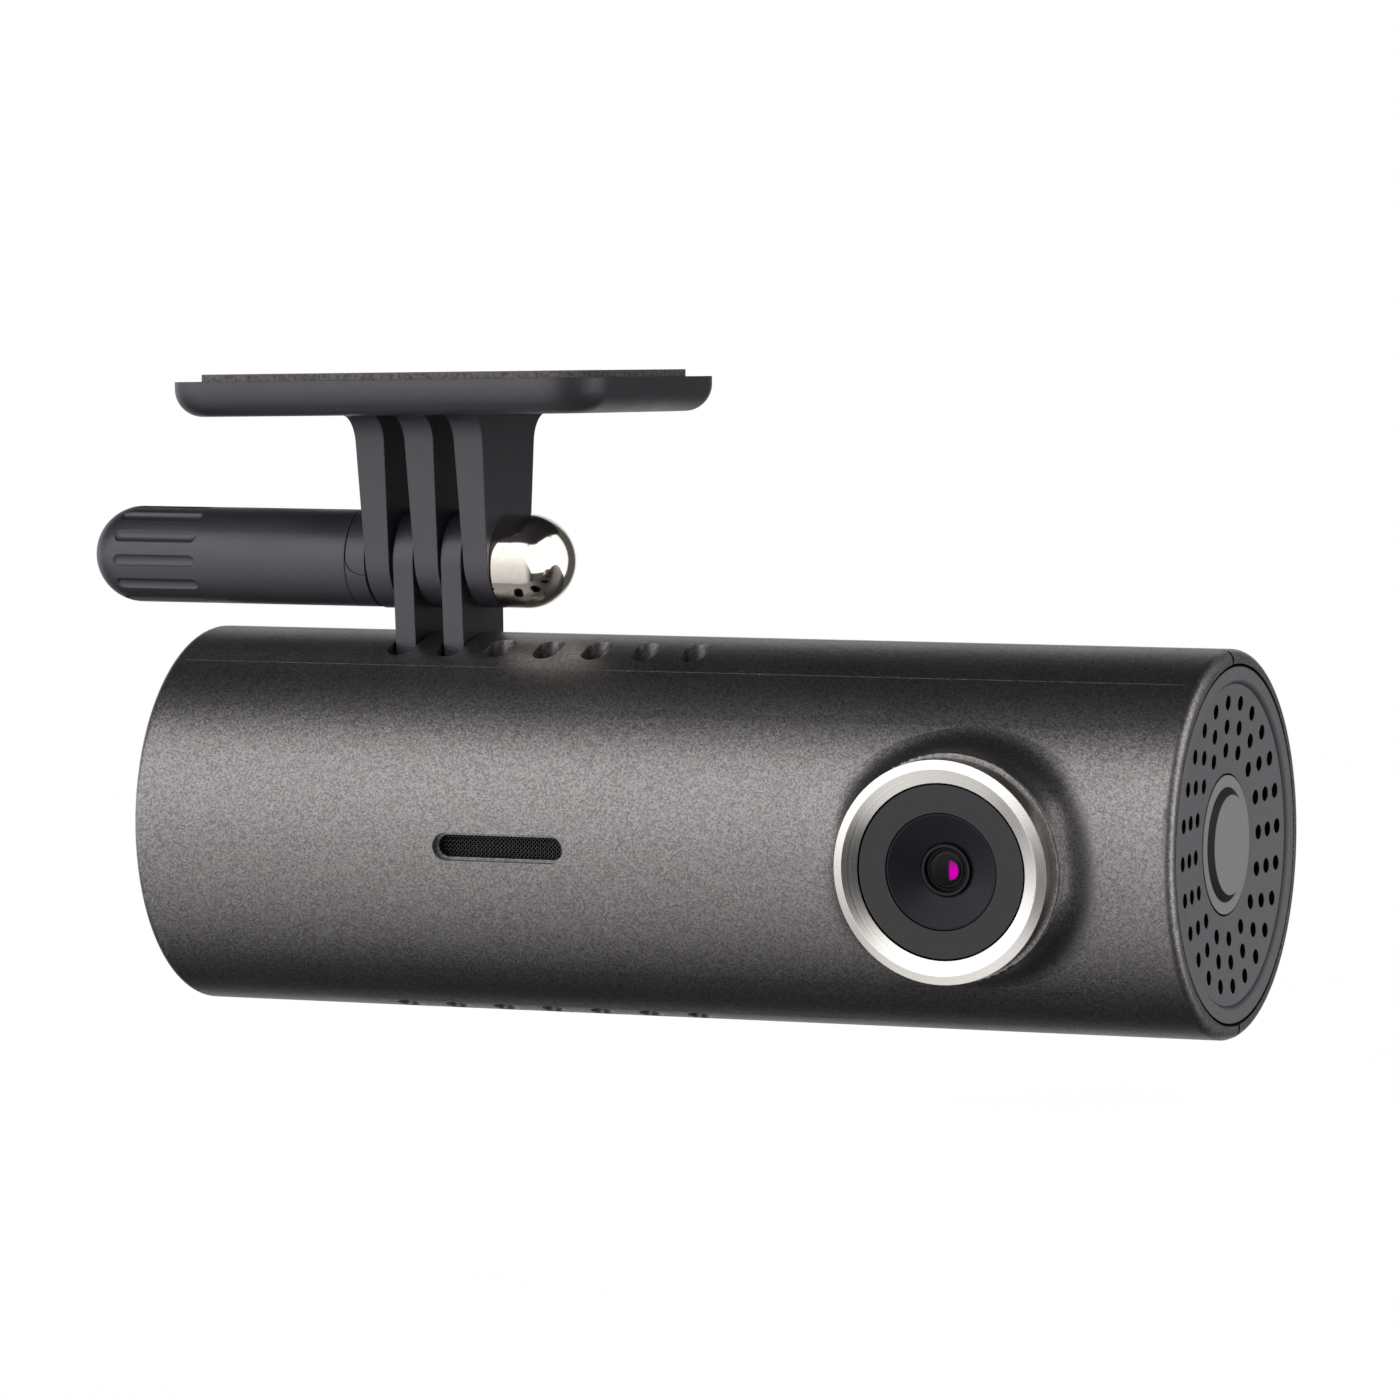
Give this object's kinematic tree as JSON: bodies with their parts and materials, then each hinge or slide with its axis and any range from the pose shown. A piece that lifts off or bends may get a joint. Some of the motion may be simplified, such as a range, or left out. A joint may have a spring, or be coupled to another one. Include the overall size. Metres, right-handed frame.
{
  "type": "dash camera",
  "caption": "Cylindrical dash camera with a side lens and end speaker, hanging from an adhesive windscreen bracket on a clamped tilting pivot.",
  "frame": {"origin": "centre of the adhesive film's outer face, which sticks to the windscreen", "axes": "+Z out of the adhesive face towards the glass, +X along the bracket's long side towards the camera's speaker end, and the lens looks along -Y"},
  "size_m": [0.1094, 0.0398, 0.0588],
  "materials": {
    "shell_paint": "fine metallic taupe-grey paint on moulded plastic",
    "cap_plastic": "dark grey, fine satin",
    "button_plastic": "grey satin",
    "mount_plastic": "dark slate, fine grain",
    "bolt_steel": "polished",
    "insert_brass": "turned",
    "bezel_metal": "turned and brushed",
    "trim_plastic": "matt dark grey",
    "hood_plastic": "gloss blue-black",
    "lens_metal": "black anodised",
    "lens_glass": "coated, purple reflection",
    "filter_glass": "thin coated glass",
    "board_green": "glass-fibre board under green resist",
    "chip_black": "moulded package",
    "socket_black": "moulded",
    "sheet_steel": "tinned sheet",
    "screw_steel": "zinc plated",
    "sink_aluminium": "milled",
    "pad_rubber": "soft silicone",
    "gasket_rubber": "foam rubber",
    "adhesive_foam": "grey-brown acrylic foam",
    "adhesive_film": "thin tacky film",
    "cell_foil": "wrapped pouch",
    "wire_cover": "insulated wire",
    "ribbon_film": "amber flexible circuit",
    "grille_fabric": "black fine mesh",
    "cone_paper": "treated paper",
    "magnet_iron": "sintered",
    "frame_plastic": "moulded",
    "lamp_clear": "clear light pipe",
    "card_plastic": "moulded card"
  },
  "bodies": {
    "bracket": {"mount_bracket": "mount_plastic", "adhesive_foam": "adhesive_foam", "adhesive_film": "adhesive_film", "pivot_bolt": "bolt_steel"},
    "camera": {"front_shell": "shell_paint", "rear_shell": "shell_paint", "speaker_cap": "cap_plastic", "blank_cap": "cap_plastic", "button_board": "board_green", "switch_body": "socket_black", "grille_cloth": "grille_fabric", "lens_bezel": "bezel_metal", "lens_trim": "trim_plastic", "lens_hood": "hood_plastic", "lens_retainer": "lens_metal", "lens_front_glass": "lens_glass", "lens_barrel": "lens_metal", "lens_rear_glass": "lens_glass", "lens_holder": "socket_black", "infrared_filter": "filter_glass", "image_sensor": "chip_black", "sensor_board": "board_green", "main_board": "board_green", "board_screws": "screw_steel", "processor_chip": "chip_black", "thermal_pad": "pad_rubber", "heat_sink": "sink_aluminium", "memory_chips": "chip_black", "radio_shield": "sheet_steel", "board_parts": "chip_black", "battery": "cell_foil", "battery_leads": "wire_cover", "battery_plug": "socket_black", "usb_socket": "sheet_steel", "usb_tongue": "socket_black", "card_socket": "sheet_steel", "indicator_light": "lamp_clear", "indicator_lamp": "lamp_clear", "reset_switch": "socket_black", "speaker_frame": "frame_plastic", "speaker_magnet": "magnet_iron", "speaker_cone": "cone_paper", "speaker_leads": "wire_cover", "microphone": "sheet_steel", "microphone_gasket": "gasket_rubber", "microphone_mesh": "grille_fabric", "mount_fork": "mount_plastic", "fork_screws": "screw_steel", "sensor_ribbon": "ribbon_film", "ribbon_socket": "socket_black", "antenna": "ribbon_film"},
    "collar": {"thrust_collar": "mount_plastic", "collar_latch": "mount_plastic"},
    "knob": {"thumb_knob": "mount_plastic", "knob_insert": "insert_brass"},
    "button": {"power_button": "button_plastic"},
    "plunger": {"switch_plunger": "chip_black"},
    "card": {"memory_card": "card_plastic"},
    "reset": {"reset_plunger": "chip_black"}
  },
  "joints": [
    {"name": "camera_tilt", "type": "hinge", "parent": "bracket", "child": "camera", "pos_m": [-0.0002, 0.00055, -0.01688], "axis": [0.9998, 0, -0.0192], "range_deg": [-75, 70]},
    {"name": "collar_slide", "type": "slide", "parent": "bracket", "child": "collar", "axis": [-0.9998, 0, 0.0192], "range_m": [0, 0.0021]},
    {"name": "knob_turn", "type": "hinge", "parent": "collar", "child": "knob", "pos_m": [-0.0002, 0.00055, -0.01688], "axis": [-0.9998, 0, 0.0192], "range_deg": [0, 1081]},
    {"name": "button_press", "type": "slide", "parent": "camera", "child": "button", "axis": [-0.9998, 0, 0.0192], "range_m": [0, 0.0005], "stiffness_N_per_m": 800, "springref_m": -0.0005},
    {"name": "plunger_press", "type": "slide", "parent": "camera", "child": "plunger", "axis": [-0.9998, 0, 0.0192], "range_m": [0, 0.0005]},
    {"name": "card_slide", "type": "slide", "parent": "camera", "child": "card", "axis": [0.0015, 0.9971, 0.0767], "range_m": [0, 0.015]},
    {"name": "reset_press", "type": "slide", "parent": "camera", "child": "reset", "axis": [-0.0015, -0.9971, -0.0767], "range_m": [0, 0.00025], "stiffness_N_per_m": 1500, "springref_m": -0.00025}
  ],
  "couplings": [
    {"joint": "knob_turn", "follows": "collar_slide", "rad_per_m": 8976},
    {"joint": "plunger_press", "follows": "button_press", "ratio": 1}
  ]
}
